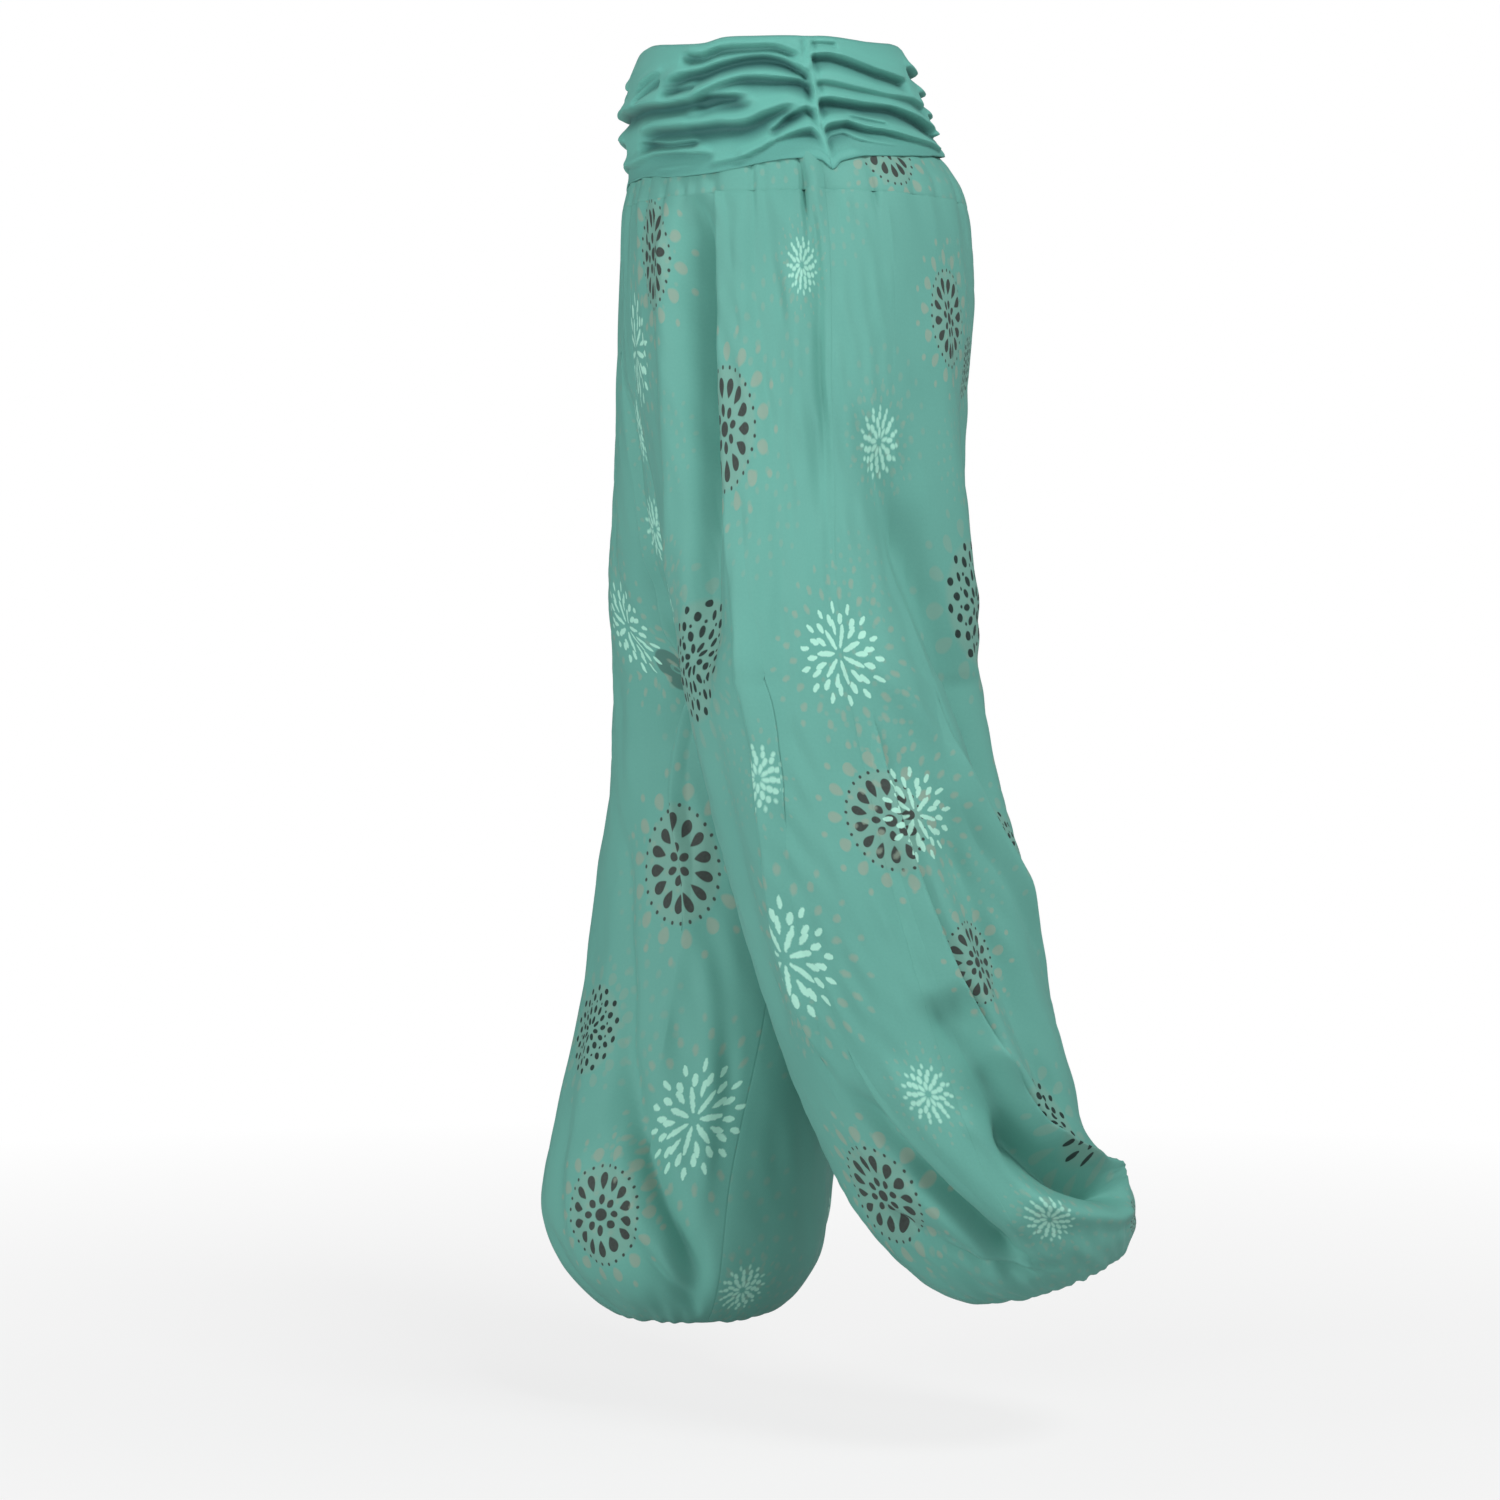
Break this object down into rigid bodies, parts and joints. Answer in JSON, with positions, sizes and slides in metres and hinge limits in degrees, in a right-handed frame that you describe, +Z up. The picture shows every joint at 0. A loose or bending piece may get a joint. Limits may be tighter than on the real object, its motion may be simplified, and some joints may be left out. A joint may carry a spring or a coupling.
{
  "type": "harem pants",
  "caption": "Loose harem pants of printed woven cloth with a ruched stretch waistband, gathered full legs and elastic ankles, hollow in a walking pose.",
  "frame": {"origin": "centre of the waist opening, at the level where the stretch band grips", "axes": "+Z up, the garment's front towards -Y, the wearer's left towards +X"},
  "size_m": [0.5067, 0.4107, 1.023],
  "materials": {
    "print": "woven viscose, soft satin sheen, teal with a floral print",
    "jersey": "plain stretch jersey, matt, deeper teal"
  },
  "bodies": {
    "root": {"waistband_front": "jersey", "waistband_back": "jersey", "yoke_front": "print", "yoke_back": "print", "left_front": "print", "left_back": "print", "right_front": "print", "right_back": "print", "cuff_left": "print", "cuff_right": "print"}
  },
  "joints": []
}
